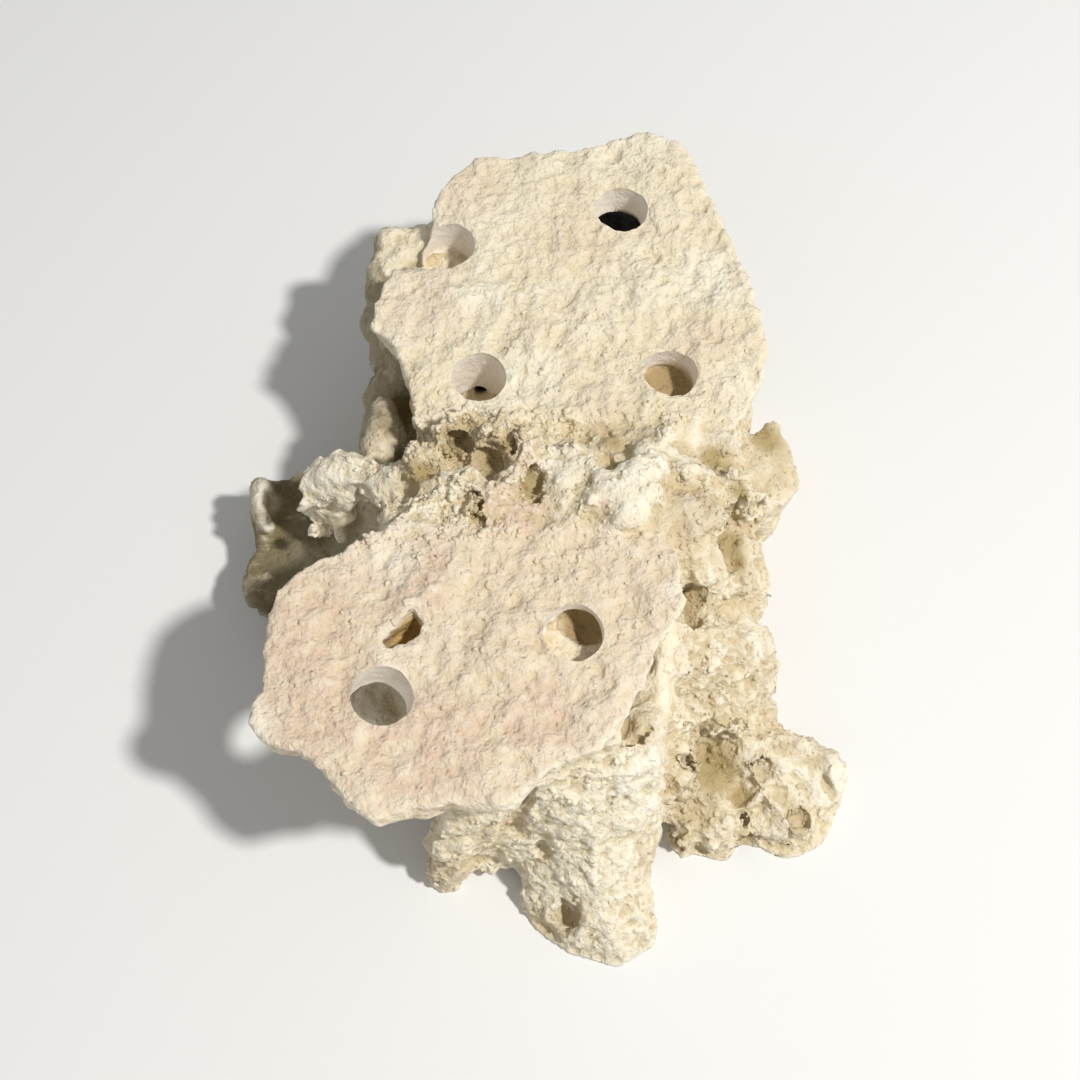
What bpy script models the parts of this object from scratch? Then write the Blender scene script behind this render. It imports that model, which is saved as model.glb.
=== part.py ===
# Dry reef rock: one piece of porous limestone with two drilled shelves, standing on its own feet.
# The model is in metres, +Z up, with its origin under the middle of the rock, on the ground.
# X runs across the rock, Y from its front to its back. Sizes and places below are in millimetres.

import math

import bmesh
import bpy
from mathutils import Matrix, Vector, noise

MM = 0.001

# Driving dimensions
HOLE_DIAMETER = 12.7
UPPER_TOP = 54
UPPER_THICKNESS = 10
LOWER_TOP = 60
LOWER_THICKNESS = 10
TIER_TOP = 17
TIER_THICKNESS = 15
VOXEL = 1.5
FINE_VOXEL = 0.8
TRIANGLES = 8200
HOLE_SIDES = 40

STONE_COLOUR = (0.78, 0.70, 0.56, 1.0)
STONE_ROUGHNESS = 0.9

# Outlines seen from above, each with only the points that its shape needs
UPPER_OUTLINE = (
    (-31, 2), (-32, 14), (-33, 24), (-37, 33), (-41, 37), (-40, 50), (-35, 56), (-29, 60),
    (-29, 73), (-27, 77), (-22, 84), (-15, 88), (0, 91), (12, 94), (24, 96), (32, 93),
    (37, 86), (43, 68), (48, 53), (50, 40), (51, 30), (49, 22), (46, 13), (42, 2),
    (30, -6), (0, -4), (-20, -4),
)
LOWER_OUTLINE = (
    (-43, -21), (-50, -26), (-57, -33), (-60, -44), (-59, -54), (-62, -61), (-59, -66),
    (-52, -67), (-46, -71), (-40, -78), (-35, -82), (-28, -81), (-18, -79), (-9, -79),
    (-2, -73), (6, -69), (13, -66), (18, -57), (23, -47), (27, -37), (28, -26), (26, -14),
    (0, -8), (-28, -10),
)
TIER_OUTLINE = (
    (-64, 18), (-71, 17), (-74, 12), (-71, 5), (-73, -6), (-74, -14), (-71, -18), (-66, -14),
    (-58, -20), (-54, -32), (-46, -44), (-34, -52), (-20, -54), (-10, -40), (-14, -10),
    (-22, 10), (-40, 22), (-52, 24),
)

# Drilled holes: name, x, y, height of the bottom, and how far the drill leaned to the right, in degrees
HOLES = (
    ("hole_back", 18, 72, 25, 4),
    ("hole_edge", -24, 61, 42, 3),
    ("hole_left", -16, 24, 36, 3),
    ("hole_right", 28, 25, 45, 7),
    ("hole_front", 5, -42, 53, 3),
    ("hole_front_left", -34, -56, 35, 13),
)
DRILL_TOP = 76


def clear_scene():
    for obj in list(bpy.data.objects):
        bpy.data.objects.remove(obj, do_unlink=True)


def stone_material():
    material = bpy.data.materials.new("reef_stone")
    material.use_nodes = True
    shader = material.node_tree.nodes["Principled BSDF"]
    shader.inputs["Base Color"].default_value = STONE_COLOUR
    shader.inputs["Roughness"].default_value = STONE_ROUGHNESS
    shader.inputs["Metallic"].default_value = 0.0
    return material


def new_object(name, bm):
    mesh = bpy.data.meshes.new(name)
    bm.to_mesh(mesh)
    bm.free()
    obj = bpy.data.objects.new(name, mesh)
    bpy.context.scene.collection.objects.link(obj)
    return obj


def settle(obj):
    """Replaces the object's mesh by what its modifiers make of it."""
    graph = bpy.context.evaluated_depsgraph_get()
    mesh = bpy.data.meshes.new_from_object(obj.evaluated_get(graph))
    obj.modifiers.clear()
    obj.data = mesh


def remesh(obj, voxel):
    modifier = obj.modifiers.new("Remesh", "REMESH")
    modifier.mode = "VOXEL"
    modifier.voxel_size = voxel * MM
    settle(obj)


def smooth(obj, factor, repeats):
    modifier = obj.modifiers.new("Smooth", "SMOOTH")
    modifier.factor = factor
    modifier.iterations = repeats
    settle(obj)


def carve(obj, cutter):
    """Takes the cutter away from the object, and keeps the cutter out of the render."""
    cutter.hide_render = True
    cutter.display_type = "WIRE"
    modifier = obj.modifiers.new("Carve", "BOOLEAN")
    modifier.operation = "DIFFERENCE"
    modifier.solver = "EXACT"
    modifier.object = cutter
    settle(obj)


def add_lump(bm, x, y, z, wide, deep, high, turn=0, lean=0):
    """A rounded lump: its centre, its half sizes, its turn about Z and its lean about Y in degrees."""
    place = (
        Matrix.Translation(Vector((x, y, z)) * MM)
        @ Matrix.Rotation(math.radians(turn), 4, "Z")
        @ Matrix.Rotation(math.radians(lean), 4, "Y")
        @ Matrix.Diagonal(Vector((wide, deep, high, 1)))
    )
    bmesh.ops.create_icosphere(bm, subdivisions=3, radius=MM, matrix=place)


def add_lumps(bm, lumps):
    for lump in lumps:
        add_lump(bm, *lump)


def add_limb(bm, start, end, start_radius, end_radius, lumps=6):
    """A tapering run of overlapping lumps from one point to another."""
    start, end = Vector(start), Vector(end)
    for step in range(lumps):
        share = step / (lumps - 1)
        middle = start.lerp(end, share)
        radius = start_radius + (end_radius - start_radius) * share
        add_lump(bm, middle.x, middle.y, middle.z, radius, radius, radius)


def add_slab(bm, outline, low, high, undercut=1.0):
    """A closed plate between two heights. An undercut below 1 draws its underside in."""
    middle = Vector((sum(x for x, y in outline), sum(y for x, y in outline), 0)) / len(outline)
    floor = []
    for x, y in outline:
        corner = middle.lerp(Vector((x, y, 0)), undercut)
        floor.append(bm.verts.new(Vector((corner.x, corner.y, low)) * MM))
    ceiling = [bm.verts.new(Vector((x, y, high)) * MM) for x, y in outline]
    faces = [bm.faces.new(floor), bm.faces.new(ceiling)]
    for step in range(len(outline)):
        after = (step + 1) % len(outline)
        faces.append(bm.faces.new((floor[step], floor[after], ceiling[after], ceiling[step])))
    bmesh.ops.recalc_face_normals(bm, faces=faces)


def add_block(bm, corners):
    """A broken-off block: the convex shape around its corners."""
    points = [bm.verts.new(Vector(corner) * MM) for corner in corners]
    found = bmesh.ops.convex_hull(bm, input=points, use_existing_faces=False)
    spare = [item for item in found["geom_interior"] if isinstance(item, bmesh.types.BMVert)]
    bmesh.ops.delete(bm, geom=spare, context="VERTS")


def add_upper_shelf(bm):
    add_slab(bm, UPPER_OUTLINE, UPPER_TOP - UPPER_THICKNESS, UPPER_TOP, 0.95)
    add_lumps(bm, (
        (-36, 68, 42, 9, 8, 7),
        (-40, 61, 38, 6.5, 9, 9),
        (-27.6, 61, 37, 12, 10, 9),
        (-16, 27, 36, 13, 16, 12),
        (32, 30, 36, 18, 22, 12),
    ))


def add_lower_shelf(bm):
    add_slab(bm, LOWER_OUTLINE, LOWER_TOP - LOWER_THICKNESS, LOWER_TOP, 0.93)
    add_lumps(bm, (
        (-50, -56, 52, 8, 8, 5),
        (-36, -70, 52, 10, 8, 5),
        (18, -24, 47, 9, 14, 10),
        (30, -19, 47, 7, 8, 9),
    ))


def add_band(bm):
    """The knobbly ridge where the two shelves meet, from left to right."""
    add_block(bm, (
        (-38, -19, 54), (-38, -7, 56), (-18, -22, 60), (-20, -4, 58), (-36, -8, 34), (-36, -18, 38),
        (-16, -18, 36), (-16, -4, 36),
    ))
    add_lumps(bm, (
        (-29, 2, 55, 5, 5, 5),
        (-22, 9, 56, 4, 3.5, 4),
        (-18, 11, 56, 3.5, 3, 4),
        (-14, 6, 57, 4, 4, 4.5),
        (-10, 10, 57, 4, 3.5, 4.5),
        (-6, 2, 57, 5.5, 6, 7),
        (-20, -6, 57, 5, 5, 6),
        (-24, -5, 56, 4, 4, 4),
        (-13, -12, 57, 6, 5, 6),
        (-10, -8, 58, 5, 5, 5),
        (9, 1, 56, 4, 4, 6),
        (8, -13, 58, 5, 5, 5),
        (29, -2, 53, 7, 6, 6),
        (22, 2, 55, 6, 5, 5),
        (26, 8, 53, 5, 4, 4),
        (41, -3, 51, 4.5, 4.5, 5),
        (35, -4, 51, 5, 5, 5),
        (31, -12, 53, 9, 8, 6),
    ))
    add_block(bm, (
        (-2, 3, 58), (5, 4, 60), (-1, -10, 60), (5, -11, 62), (-4, 2, 40), (7, 3, 40), (-4, -12, 40), (7, -12, 40),
    ))
    add_block(bm, (
        (8, -4, 62), (18, -3, 64), (25, -3, 62), (25, -11, 64), (16, -18, 64), (9, -15, 62),
        (10, -3, 46), (25, -2, 46), (25, -12, 50), (14, -18, 59), (10, -12, 46),
    ))


def add_core(bm):
    """The mass under the band, which carries both shelves."""
    add_lumps(bm, (
        (0, -2, 24, 30, 16, 30),
        (26, -8, 20, 22, 20, 30),
        (24, 14, 20, 20, 18, 26),
        (-24, 0, 22, 16, 13, 30),
        (6, -34, 10, 22, 20, 16),
        (4, -45, 39, 10, 9, 12),
        (24, -36, 36, 9, 14, 12),
        (7, -38, 43, 8, 8, 8),
    ))


def add_left_arm(bm):
    add_limb(bm, (-36, 0, 48), (-52, 5, 39), 6, 6)
    add_block(bm, (
        (-58, 2, 43), (-57, 8, 39), (-50, 10, 43), (-45, 9, 45), (-46, 1, 45), (-61, 0, 30),
        (-53, -8, 22), (-47, -6, 26), (-46, 2, 30), (-58, 6, 30), (-48, 8, 28),
    ))
    add_lumps(bm, (
        (-40, 27, 27, 6, 13, 10),
        (-40, 18, 30, 7, 9, 9),
        (-39, 17, 37, 5.5, 11.5, 7.5),
        (-38, 20, 12, 9, 12, 14),
    ))


def add_tier(bm):
    """The lower tier at the left, under the lower shelf."""
    add_slab(bm, TIER_OUTLINE, TIER_TOP - TIER_THICKNESS, TIER_TOP, 0.86)
    add_lumps(bm, (
        (-71, 13, 17, 3.5, 3, 4),
        (-71, 7, 16, 3, 6, 4),
        (-60, 2, 4, 9, 12, 8),
        (-36, 14, 10, 14, 14, 20),
        (-38, -32, 4, 16, 14, 12),
    ))


def add_right_flank(bm):
    add_block(bm, (
        (42, 10, 50), (47, 14, 46), (54, 21, 41), (58, 12, 40), (59, 3, 39), (55, -2, 38), (46, -8, 47),
        (42, -6, 50), (46, 14, 30), (53, 13, 28), (54, 0, 22), (48, -6, 20), (40, -6, 20), (40, 10, 26),
    ))
    add_block(bm, (
        (41, -12, 44), (50, -9, 38), (53, -14, 30), (50, -22, 30), (44, -23, 40), (52, -10, 16),
        (50, -24, 10), (36, -10, 20), (36, -24, 20),
    ))
    add_block(bm, (
        (33, -16, 54), (39, -16, 50), (40, -24, 44), (34, -27, 48), (32, -16, 30), (40, -16, 30), (38, -28, 30),
    ))
    add_lumps(bm, (
        (44, -34, 16, 11, 12, 19),
        (47, -40, 10, 9, 8, 14),
        (34, -34, 18, 12, 14, 24),
        (22, -46, 20, 10, 12, 27),
        (35, -48, 22, 13, 5, 5),
        (30, -58, 10, 6, 7, 13),
        (33, -70, 1, 6, 6, 9),
        (40, -66, 1, 9, 11, 9),
        (42, -50, 8, 12, 8, 12),
    ))
    add_block(bm, (
        (50, -46, 15), (59, -46, 13), (66, -47, 12), (71, -52, 10), (71, -58, 9), (65, -64, 7), (60, -70, 8),
        (52, -72, 8), (46, -60, 13), (48, -75, -3), (60, -76, -3), (65, -71, -3), (71, -58, -3), (69, -50, -3),
        (48, -46, -3),
    ))
    add_lumps(bm, (
        (60, -51, 11, 5, 4, 4),
        (66, -53, 10, 4, 5, 4),
        (54, -66, 7, 5, 5, 4),
    ))


def add_front_foot(bm):
    """The pale buttress that runs from the lower shelf's front edge down to the toe."""
    add_block(bm, (
        (-3, -71, 53), (9, -66, 55), (23, -61, 53), (27, -72, 17), (24, -78, 12), (-5, -79, 19), (-8, -81, 9),
        (24, -46, 40), (28, -52, -3), (-4, -56, 40), (-8, -62, -3), (10, -79, 30),
    ))
    add_block(bm, (
        (-5, -79, 18), (10, -81, 26), (25, -77, 14), (-9, -84, 6), (-3, -92, 2), (6, -97, 2), (16, -100, 2),
        (25, -94, 3), (24, -83, 8), (12, -89, 14), (-8, -82, -3), (-2, -93, -3), (16, -100, -3), (25, -95, -3),
        (20, -72, -3),
    ))


def add_front_wall(bm):
    """The wall and the small foot under the front edge of the lower shelf."""
    add_limb(bm, (-18, -70, 44), (-24, -79, 2), 6, 5, 8)
    add_limb(bm, (-14, -70, 44), (-12, -74, 5), 6, 6, 6)
    add_lumps(bm, (
        (-20, -62, 32, 9, 9, 16),
        (-25, -80, 2, 4.5, 4.5, 5),
    ))


def add_back_supports(bm):
    """Walls and legs under the upper shelf, which the shelf hides from the front."""
    add_block(bm, (
        (-43, 68, 40), (-33, 75, 42), (-30, 60, 42), (-32, 30, 42), (-41, 31, 36), (-45, 53, 33),
        (-40, 66, -3), (-42, 34, 6), (-32, 36, 6), (-26, 62, -3),
    ))
    add_block(bm, (
        (-6, 89, 46), (24, 94, 46), (36, 84, 46), (33, 80, 46), (0, 84, 46), (2, 88, 12), (24, 91, -3), (36, 80, -3),
        (28, 74, -3), (8, 86, -3),
    ))
    add_limb(bm, (41, 44, 40), (38, 30, 0), 8, 13, 7)
    add_lumps(bm, (
        (-37, 40, 8, 8, 16, 14),
        (-41, 57, 33, 6.4, 12, 10),
    ))


def solid_forms():
    bm = bmesh.new()
    for add in (
        add_upper_shelf,
        add_lower_shelf,
        add_band,
        add_core,
        add_left_arm,
        add_tier,
        add_right_flank,
        add_front_foot,
        add_front_wall,
        add_back_supports,
    ):
        add(bm)
    return new_object("reef_rock", bm)


def hollow_forms():
    """Caves, recesses and crevices, as the solid shapes to take away."""
    bm = bmesh.new()
    add_lumps(bm, (
        (-43, -6, 38, 4, 8, 10),
        (-28, -6, 61, 4, 3, 4),
        (-18, 1, 60, 8, 2, 5, -28),
        (-22, 13, 58, 9, 2.5, 4, 22),
        (-4, -8, 62, 1.8, 4, 6),
        (-15, -16, 64, 1.2, 4, 8),
        (14, 4, 60, 3.5, 2.5, 3.5),
        (18, 7, 57.5, 3.5, 2.5, 3),
        (36, 1, 56, 7, 1.2, 2.5, -5),
        (50, 21, 46, 2, 4, 12),
        (43, -17, 46, 1.2, 7, 4, 14),
        (31, -32, 47, 2.5, 5, 5),
        (16, -59, 49.5, 3.6, 2.8, 4.5),
        (38, -58, 19, 4.6, 8, 8.5, 14),
        (46, -76, 0, 1.8, 6, 6),
        (58, -68, 9, 2, 2, 5),
        (-1, -79, 22, 2, 5, 7, 20),
        (4, -89, 8, 3, 3, 6, -30),
        (-30, -42, 62, 2, 4.2, 9, -60),
        (-4, -29, 38, 10, 9, 8),
        (7.2, -40, 55.6, 4.4, 4.4, 5.2),
        (7.5, -38, 53.5, 5, 5, 3.6),
        (-6, -24, 38, 9, 9, 9),
        (-32, 60.5, 56.5, 6, 5.5, 6),
    ))
    return new_object("hollow_forms", bm)


def knobs(point, size):
    """Height of a field of rounded knobs, from 0 between them to 1 on top."""
    nearest = noise.voronoi(point / size)[0][0]
    return max(0.0, 1.0 - nearest * nearest * 1.8)


def coarseness(point):
    """How rough the stone is here, from the worn shelf tops to the broken band and flanks."""
    on_upper = point.z > UPPER_TOP - 4 and point.y > 14
    on_lower = point.z > LOWER_TOP - 5 and point.y < -18 and point.x < 24
    on_buttress = point.y < -64 and -10 < point.x < 28
    return 0.3 if on_upper or on_lower or on_buttress else 1.0


def roughen(obj):
    """Moves the surface in and out by swells, knobs and pits."""
    mesh = obj.data
    moved = []
    for vertex in mesh.vertices:
        point = vertex.co / MM
        rough = coarseness(point)
        height = 1.4 * noise.noise(point / 16.0)
        height += rough * 2.0 * (knobs(point, 9.0) - 0.5)
        height += rough * 0.9 * noise.noise(point / 4.0)
        moved.append(vertex.co + vertex.normal * height * MM)
    for vertex, place in zip(mesh.vertices, moved):
        vertex.co = place


def thin_out(obj, triangles):
    mesh = obj.data
    mesh.calc_loop_triangles()
    modifier = obj.modifiers.new("Decimate", "DECIMATE")
    modifier.ratio = triangles / len(mesh.loop_triangles)
    modifier.use_collapse_triangulate = True
    settle(obj)


def cut_flat_soles(obj):
    """Cuts the feet flat where the rock stands."""
    bm = bmesh.new()
    place = Matrix.Translation(Vector((0, 0, -20)) * MM) @ Matrix.Diagonal(Vector((0.3, 0.3, 0.04, 1)))
    bmesh.ops.create_cube(bm, size=1, matrix=place)
    carve(obj, new_object("ground_cutter", bm))


def drill_holes(obj):
    bm = bmesh.new()
    for name, x, y, depth, lean in HOLES:
        rim = Vector((x, y, UPPER_TOP if y > 0 else LOWER_TOP))
        place = Matrix.Translation(rim * MM) @ Matrix.Rotation(math.radians(lean), 4, "Y")
        place = place @ Matrix.Translation(Vector((0, 0, (DRILL_TOP + depth) / 2 - rim.z)) * MM)
        bmesh.ops.create_cone(
            bm,
            cap_ends=True,
            segments=HOLE_SIDES,
            radius1=HOLE_DIAMETER / 2 * MM,
            radius2=HOLE_DIAMETER / 2 * MM,
            depth=(DRILL_TOP - depth) * MM,
            matrix=place,
        )
    carve(obj, new_object("drill", bm))


def stand_over_origin(rock):
    """Moves the rock, with its cutters, so that the middle of its base lies at the origin."""
    places = [vertex.co for vertex in rock.data.vertices]
    low = Vector([min(place[axis] for place in places) for axis in range(3)])
    high = Vector([max(place[axis] for place in places) for axis in range(3)])
    shift = Matrix.Translation((-(low.x + high.x) / 2, -(low.y + high.y) / 2, -low.z))
    for obj in bpy.context.scene.objects:
        obj.data.transform(shift)


def build_rock():
    rock = solid_forms()
    remesh(rock, VOXEL)
    hollows = hollow_forms()
    remesh(hollows, FINE_VOXEL)
    carve(rock, hollows)
    remesh(rock, VOXEL)
    smooth(rock, 0.5, 2)
    roughen(rock)
    thin_out(rock, TRIANGLES)
    cut_flat_soles(rock)
    drill_holes(rock)
    stand_over_origin(rock)
    rock.data.materials.clear()
    rock.data.materials.append(stone_material())
    return rock


clear_scene()
build_rock()
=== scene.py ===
import math
import random

import bpy
import numpy as np
from mathutils import Matrix, Vector


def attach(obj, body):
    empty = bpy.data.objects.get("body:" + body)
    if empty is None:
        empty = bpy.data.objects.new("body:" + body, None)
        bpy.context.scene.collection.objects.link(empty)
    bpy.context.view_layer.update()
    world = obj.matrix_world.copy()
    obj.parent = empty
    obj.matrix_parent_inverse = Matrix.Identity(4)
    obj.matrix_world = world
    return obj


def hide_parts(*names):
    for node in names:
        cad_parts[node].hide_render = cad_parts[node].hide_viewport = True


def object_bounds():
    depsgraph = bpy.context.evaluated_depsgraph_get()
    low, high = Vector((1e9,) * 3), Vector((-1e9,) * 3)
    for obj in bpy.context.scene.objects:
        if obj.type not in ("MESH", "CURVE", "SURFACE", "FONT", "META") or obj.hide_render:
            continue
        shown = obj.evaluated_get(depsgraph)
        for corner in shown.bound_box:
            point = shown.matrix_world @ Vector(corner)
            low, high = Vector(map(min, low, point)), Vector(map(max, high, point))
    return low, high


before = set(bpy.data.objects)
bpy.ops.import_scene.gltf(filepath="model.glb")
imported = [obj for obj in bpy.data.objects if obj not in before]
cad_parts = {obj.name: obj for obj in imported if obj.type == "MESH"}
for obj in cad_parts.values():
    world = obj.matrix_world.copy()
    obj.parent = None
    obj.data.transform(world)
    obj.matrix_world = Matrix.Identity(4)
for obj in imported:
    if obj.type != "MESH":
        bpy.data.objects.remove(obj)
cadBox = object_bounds()
print("frame loaded")

mm = 0.001
fullTurn = 6.283  # radians
rockShift = Vector((1.758, 1.517, 0.0))  # places below are in millimetres from the sketch's own origin


# small helpers, for working as by hand
def deselectAll():
    if bpy.context.object and bpy.context.object.mode != "OBJECT":
        bpy.ops.object.mode_set(mode="OBJECT")
    bpy.ops.object.select_all(action="DESELECT")


def makeActive(obj):
    deselectAll()
    obj.select_set(True)
    bpy.context.view_layer.objects.active = obj


def joinInto(target, others):
    makeActive(target)
    for obj in others:
        obj.select_set(True)
    bpy.ops.object.join()
    return target


def applyModifier(obj, kind, name, **settings):
    makeActive(obj)
    modifier = obj.modifiers.new(name, kind)
    for key, value in settings.items():
        setattr(modifier, key, value)
    bpy.ops.object.modifier_apply(modifier=name)


def place(x, y, z):
    return (Vector((x, y, z)) + rockShift) * mm


def readPoints(obj):
    # vertex places in millimetres from the sketch's origin, and vertex normals
    points = np.empty(len(obj.data.vertices) * 3)
    normals = np.empty(len(obj.data.vertices) * 3)
    obj.data.vertices.foreach_get("co", points)
    obj.data.vertices.foreach_get("normal", normals)
    return points.reshape(-1, 3) / mm - np.array(rockShift), normals.reshape(-1, 3)


def smoothStep(low, high, value):
    share = np.clip((value - low) / (high - low), 0.0, 1.0)
    return share * share * (3 - 2 * share)


def softBox(points, low, high, soft):
    share = np.ones(len(points))
    for axis in range(3):
        share = share * smoothStep(low[axis] - soft, low[axis] + soft, points[:, axis])
        share = share * (1 - smoothStep(high[axis] - soft, high[axis] + soft, points[:, axis]))
    return share


def patches(points, size, seed):
    # a slow field from 0 to 1, for parts worn smoother than others
    chance = random.Random(seed)
    field = np.zeros(len(points))
    for _ in range(7):
        way = np.array([chance.gauss(0, 1) for _ in range(3)])
        way = way / np.linalg.norm(way) * fullTurn / (size * chance.uniform(0.7, 1.6))
        field = field + np.sin(points @ way + chance.uniform(0, fullTurn))
    return smoothStep(-1.6, 1.6, field)


def softSpots(points, spots):
    best = np.zeros(len(points))
    for x, y, z, reach in spots:
        gap = np.linalg.norm(points - np.array((x, y, z)), axis=1)
        best = np.maximum(best, 1 - smoothStep(reach * 0.4, reach, gap))
    return best


# where each kind of surface lies on the rock: low corner, high corner and softness of the edges
zoneBoxes = {
    "ridge": ((-42, -24, 40), (60, 13, 80), 3),
    "flank": ((28, -54, 4), (80, -5, 60), 3),
    "foot": ((26, -95, -5), (95, -46, 40), 3),
    "face": ((-9, -115, 0), (27, -61, 53), 2),
    "frontWall": ((-40, -100, -5), (-9, -62, 48), 3),
    "arm": ((-68, -10, 22), (-34, 17, 54), 3),
    "tier": ((-95, -60, -5), (-46, 30, 22), 2),
    "leftWall": ((-60, 14, 5), (-33, 90, 49), 3),
    "upperTop": ((-60, 12, 48), (70, 125, 70), 2),
    "lowerTop": ((-80, -105, 54), (29, -17, 80), 2),
}
# x, y, z and reach of the spots that broke smooth
calmSpots = (
    (2, -3, 60, 8), (16, -10, 63, 10), (36, -21, 49, 8), (47, -29, 30, 9), (52, -24, 30, 8),
    (57, 13, 41, 6), (-40, 17, 42, 14), (-37, -2, 50, 7), (-50, 4, 44, 6), (39, -57, 12, 7),
    (26, -30, 58, 7), (-28, -3, 56, 5), (32, -13, 57, 9), (30, 5, 55, 9), (44, -14, 42, 7),
    (2, -9, 61, 5), (52, 10, 43, 9), (14, -24, 60, 9), (20, -68, 42, 9), (20, -73, 31, 8),
    (18, -82, 22, 6), (64, -57, 9, 10), (56, -52, 14, 8),
)


def findZones(points, normals):
    zones = {name: softBox(points, *box) for name, box in zoneBoxes.items()}
    up = smoothStep(0.4, 0.8, normals[:, 2])
    slant = points[:, 1] - 0.1 * points[:, 0]
    ridge = zones["ridge"] * smoothStep(-21, -15, slant)
    cluster = ridge * (1 - smoothStep(2, 10, points[:, 0]))
    upperTop, lowerTop = up * zones["upperTop"], up * zones["lowerTop"]
    top = np.clip(upperTop + lowerTop, 0, 1)
    calm = softSpots(points, calmSpots)
    flank, foot, face, arm = (zones[name] for name in ("flank", "foot", "face", "arm"))
    frontWall, leftWall = zones["frontWall"], zones["leftWall"]
    rough = 0.35 * ridge + 0.65 * cluster + 0.4 * flank + 0.4 * foot + 0.4 * (frontWall + arm + leftWall)
    rough = np.clip(rough, 0, 1) * (1 - 0.8 * face) * (1 - upperTop) * (1 - 0.9 * lowerTop)
    rough = rough * (1 - 0.85 * calm)
    craggy = np.clip(0.5 * ridge + flank + foot + 0.6 * frontWall + 0.9 * face + 0.5 * arm, 0, 1)
    craggy = craggy * (1 - top) * (1 - 0.7 * calm)
    zones.update(
        ridge=ridge, cluster=cluster, upperTop=upperTop, lowerTop=lowerTop, top=top,
        rough=rough, craggy=craggy, calm=calm,
    )
    return zones


# the drilled holes, filled for now so that their rims can be cut clean at the end
drillHoles = {
    "radius": 6.35,
    "sides": 72,
    "above": 4,  # how far the drill starts above the rim
    "plug": {"radius": 6.5, "sides": 48, "below": 0.3},  # the filling, and how far it stays below the rim
    "vent": {"radius": 3.0, "sides": 24, "past": 2},  # a channel that keeps what lies under it open
    # x, y, height of the rim, of the drill's tip and of the filling's bottom, and lean in degrees
    "holes": {
        "back": (18, 72, 54, 22, 45, 4),
        "edge": (-24, 61, 54, 43.2, 44.6, 3),
        "left": (-16, 24, 54, 37.4, 39, 3),
        "right": (28, 25, 54, 46.4, 47.8, 7),
        "front": (5, -42, 60, 54.2, 55.6, 3),
        "frontLeft": (-34, -56, 60, 36, 51, 13),
    },
}


def addRod(name, radius, sides, hole, low, high, rows=1):
    x, y, rim, _, _, lean = hole
    turn = Matrix.Rotation(math.radians(lean), 3, "Y")
    centre = Vector((x, y, rim)) + turn @ Vector((0, 0, (low + high) / 2 - rim))
    deselectAll()
    bpy.ops.mesh.primitive_cylinder_add(
        vertices=sides, radius=radius * mm, depth=(high - low) * mm,
        location=place(*centre), rotation=(0, math.radians(lean), 0),
    )
    bpy.ops.object.transform_apply(location=True, rotation=True, scale=True)
    rod = bpy.context.object
    rod.name = name
    if rows > 1:
        makeActive(rod)
        bpy.ops.object.mode_set(mode="EDIT")
        bpy.ops.mesh.select_all(action="SELECT")
        for row in range(1, rows):
            bpy.ops.mesh.bisect(
                plane_co=place(*(centre + turn @ Vector((0, 0, (high - low) * (row / rows - 0.5))))),
                plane_no=turn @ Vector((0, 0, 1)), threshold=0.000001,
            )
            bpy.ops.mesh.select_all(action="SELECT")
        bpy.ops.object.mode_set(mode="OBJECT")
    return rod


def copyOfRock():
    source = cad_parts["reef_rock"]
    rock = bpy.data.objects.new("rockBody", source.data.copy())
    bpy.context.scene.collection.objects.link(rock)
    makeActive(rock)
    bpy.ops.object.mode_set(mode="EDIT")
    bpy.ops.mesh.select_all(action="SELECT")
    bpy.ops.mesh.remove_doubles(threshold=0.00001)
    bpy.ops.object.mode_set(mode="OBJECT")
    rock.data.materials.clear()
    return rock


def fillHoles(rock):
    plug, vent = drillHoles["plug"], drillHoles["vent"]
    plugs, vents = [], []
    for hole in drillHoles["holes"].values():
        _, _, rim, _, bottom, _ = hole
        plugs.append(addRod("plug", plug["radius"], plug["sides"], hole, bottom, rim - plug["below"]))
    for hole in drillHoles["holes"].values():
        _, _, rim, _, bottom, _ = hole
        low, high = bottom - vent["past"], rim + vent["past"]
        vents.append(addRod("vent", vent["radius"], vent["sides"], hole, low, high))
    filling, channels = joinInto(plugs[0], plugs[1:]), joinInto(vents[0], vents[1:])
    applyModifier(filling, "BOOLEAN", "Vent", operation="DIFFERENCE", solver="MANIFOLD", object=channels)
    bpy.data.objects.remove(channels)
    joinInto(rock, [filling])


rock = copyOfRock()
fillHoles(rock)
print("rock copied, drilled holes filled")


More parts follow.
